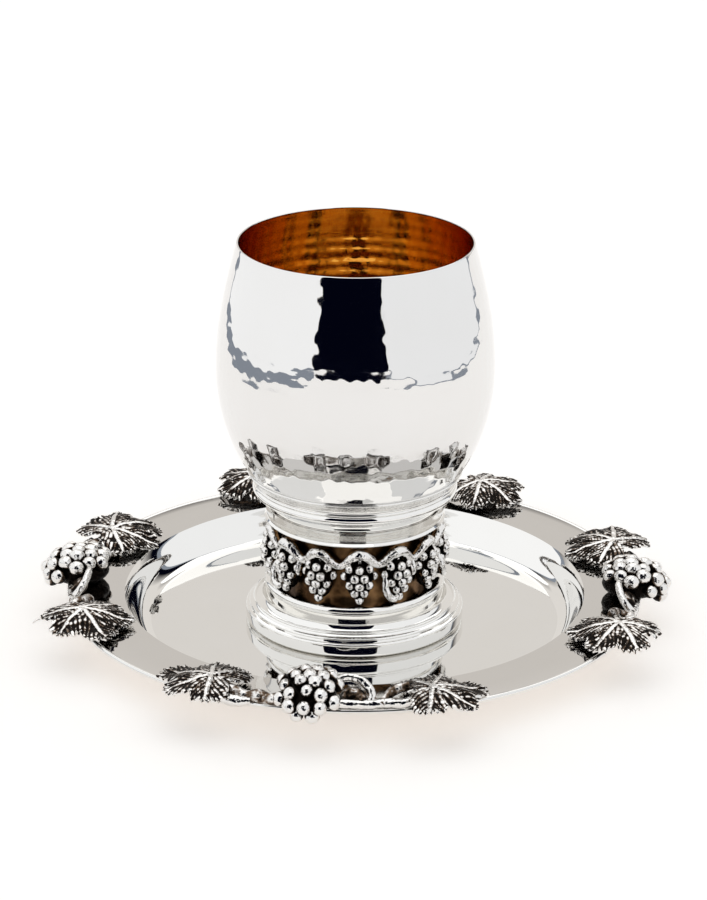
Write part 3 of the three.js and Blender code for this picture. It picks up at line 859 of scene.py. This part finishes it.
# the camera, a pale table, three soft boxes and the room round them
studio = {
    "cameraPlace": (-0.00048, -0.91246, 0.40814), "cameraPitch": 68.9026, "cameraRoll": 0.227, "lens": 127.99,
    "table": ((-1.5, -0.65), (1.5, 1.8)), "tableColor": (0.93, 0.925, 0.915), "tableGlow": (0.37, 0.33, 0.30),
    "leftBox": {"rear": (-0.34, 0.34), "front": (-0.36, -0.58), "low": 0.03, "high": 1.0, "light": 0.80},
    "rightBox": {"rear": (0.44, 0.28), "front": (0.29, -0.66), "low": 0.011, "high": 1.0, "light": 0.71},
    "topBox": {"place": (0, 0.45, 1.15), "size": (2.0, 2.4), "light": 1.13},
    "boxShell": (0.27, 0.30, 0.35), "shellBehind": 0.045, "shellGap": 0.004, "lampColor": (1, 0.97, 0.915),
    "backdrop": (0.82, 0.79, 0.755), "roomInFront": (0.0008, 0.0012, 0.006), "fill": (0.727, 0.762, 0.787),
    "backdropStarts": (0.56, 0.72), "backdropEnds": (0.5, 0.62), "bounces": 20, "glossyBounces": 16,
}

pickNothing()
bpy.ops.object.camera_add(location=studio["cameraPlace"])
camera = bpy.context.active_object
camera.matrix_world = (Matrix.Translation(studio["cameraPlace"])
                       @ Matrix.Rotation(math.radians(studio["cameraPitch"]), 4, "X")
                       @ Matrix.Rotation(math.radians(studio["cameraRoll"]), 4, "Z"))
camera.data.lens = studio["lens"]
camera.data.sensor_width = 36
camera.data.clip_end = 20
bpy.context.scene.camera = camera

(left, front), (right, rear) = studio["table"]
pickNothing()
bpy.ops.mesh.primitive_plane_add(size=1, location=((left + right) / 2, (front + rear) / 2, -0.0002))
table = bpy.context.active_object
table.scale = (right - left, rear - front, 1)
bpy.ops.object.transform_apply(location=True, rotation=True, scale=True)
table.name = "table"
tableTop, tree, shader = newMaterial("tableTop")
shader.inputs["Base Color"].default_value = (*studio["tableColor"], 1)
shader.inputs["Roughness"].default_value = 0.9
shader.inputs["Specular IOR Level"].default_value = 0.2
shader.inputs["Emission Color"].default_value = (*studio["tableGlow"], 1)
shader.inputs["Emission Strength"].default_value = 1
coat(table, tableTop)

boxShell, tree, shader = newMaterial("boxShell")
shader.inputs["Base Color"].default_value = (0, 0, 0, 1)
shader.inputs["Specular IOR Level"].default_value = 0
shader.inputs["Emission Color"].default_value = (*studio["boxShell"], 1)
shader.inputs["Emission Strength"].default_value = 1


# a soft box: its lit cloth, and its grey shell, which hides what stands behind and shows round the cloth
def softBox(name, place, facing, width, height, light, shellShift=(0, 0, 0), shellWidth=0, shellHeight=0):
    bpy.ops.object.light_add(type="AREA", location=place)
    lamp = bpy.context.active_object
    lamp.name = name
    lamp.data.shape = "RECTANGLE"
    lamp.data.size = width
    lamp.data.size_y = height
    lamp.data.color = studio["lampColor"]
    lamp.data.energy = light * math.pi * width * height
    lamp.rotation_mode = "QUATERNION"
    lamp.rotation_quaternion = Vector(facing).to_track_quat("-Z", "Y")
    lamp.visible_camera = False
    lamp.visible_diffuse = False
    behind = Vector(place) - Vector(facing) * studio["shellGap"] + Vector(shellShift)
    bpy.ops.mesh.primitive_plane_add(size=1, location=behind)
    shell = bpy.context.active_object
    shell.name = name + "Shell"
    shell.rotation_mode = "QUATERNION"
    shell.rotation_quaternion = lamp.rotation_quaternion
    shell.scale = (width + shellWidth, height + shellHeight, 1)
    coat(shell, boxShell)
    shell.visible_camera = shell.visible_diffuse = shell.visible_shadow = False


# a box that stands upright between two places on the floor and faces the set
def standingBox(name, box, inwards):
    rear, front = Vector((*box["rear"], 0)), Vector((*box["front"], 0))
    width = (rear - front).length
    backwards = (rear - front) / width
    facing = Vector((backwards.y, -backwards.x, 0))
    if facing.x * inwards < 0:
        facing = -facing
    middle = (rear + front) / 2 + Vector((0, 0, (box["high"] + box["low"]) / 2))
    shift = backwards * studio["shellBehind"] / 2 - Vector((0, 0, box["low"] / 2))
    softBox(name, middle, facing, width, box["high"] - box["low"], box["light"], shift,
            studio["shellBehind"], box["low"])


standingBox("leftBox", studio["leftBox"], 1)
standingBox("rightBox", studio["rightBox"], -1)
softBox("topBox", studio["topBox"]["place"], (0, 0, -1), *studio["topBox"]["size"], studio["topBox"]["light"])

# the room: a grey backdrop behind, dark in front and at the sides behind the soft boxes, and an even fill for
# whatever isn't a mirror
world = bpy.data.worlds.new("room")
bpy.context.scene.world = world
world.use_nodes = True
tree = world.node_tree
room = tree.nodes["Background"]
split = node(tree, "ShaderNodeSeparateXYZ")
tree.links.new(node(tree, "ShaderNodeTexCoord").outputs["Generated"], split.inputs[0])
behind = spread(tree, split.outputs["Y"], *studio["backdropStarts"], 0, 1)
lowDown = spread(tree, split.outputs["Z"], *studio["backdropEnds"], 1, 0)
both = node(tree, "ShaderNodeMath", operation="MULTIPLY")
tree.links.new(behind, both.inputs[0])
tree.links.new(lowDown, both.inputs[1])
tone = mixTones(tree, both.outputs["Value"], studio["roomInFront"], studio["backdrop"])
tree.links.new(tone, room.inputs["Color"])
fill = node(tree, "ShaderNodeBackground")
fill.inputs["Color"].default_value = (*studio["fill"], 1)
white = node(tree, "ShaderNodeBackground")
white.inputs["Color"].default_value = (1, 1, 1, 1)
path = node(tree, "ShaderNodeLightPath")
last = room.outputs["Background"]
for which, light in (("Is Diffuse Ray", fill), ("Is Camera Ray", white)):
    choose = node(tree, "ShaderNodeMixShader")
    tree.links.new(path.outputs[which], choose.inputs["Fac"])
    tree.links.new(last, choose.inputs[1])
    tree.links.new(light.outputs["Background"], choose.inputs[2])
    last = choose.outputs["Shader"]
tree.links.new(last, tree.nodes["World Output"].inputs["Surface"])

# gold seen in gold seen in gold needs many bounces
bpy.context.scene.cycles.max_bounces = studio["bounces"]
bpy.context.scene.cycles.glossy_bounces = studio["glossyBounces"]
bpy.context.scene.view_settings.view_transform = "Standard"
bpy.context.scene.view_settings.look = "None"
print("studio set")
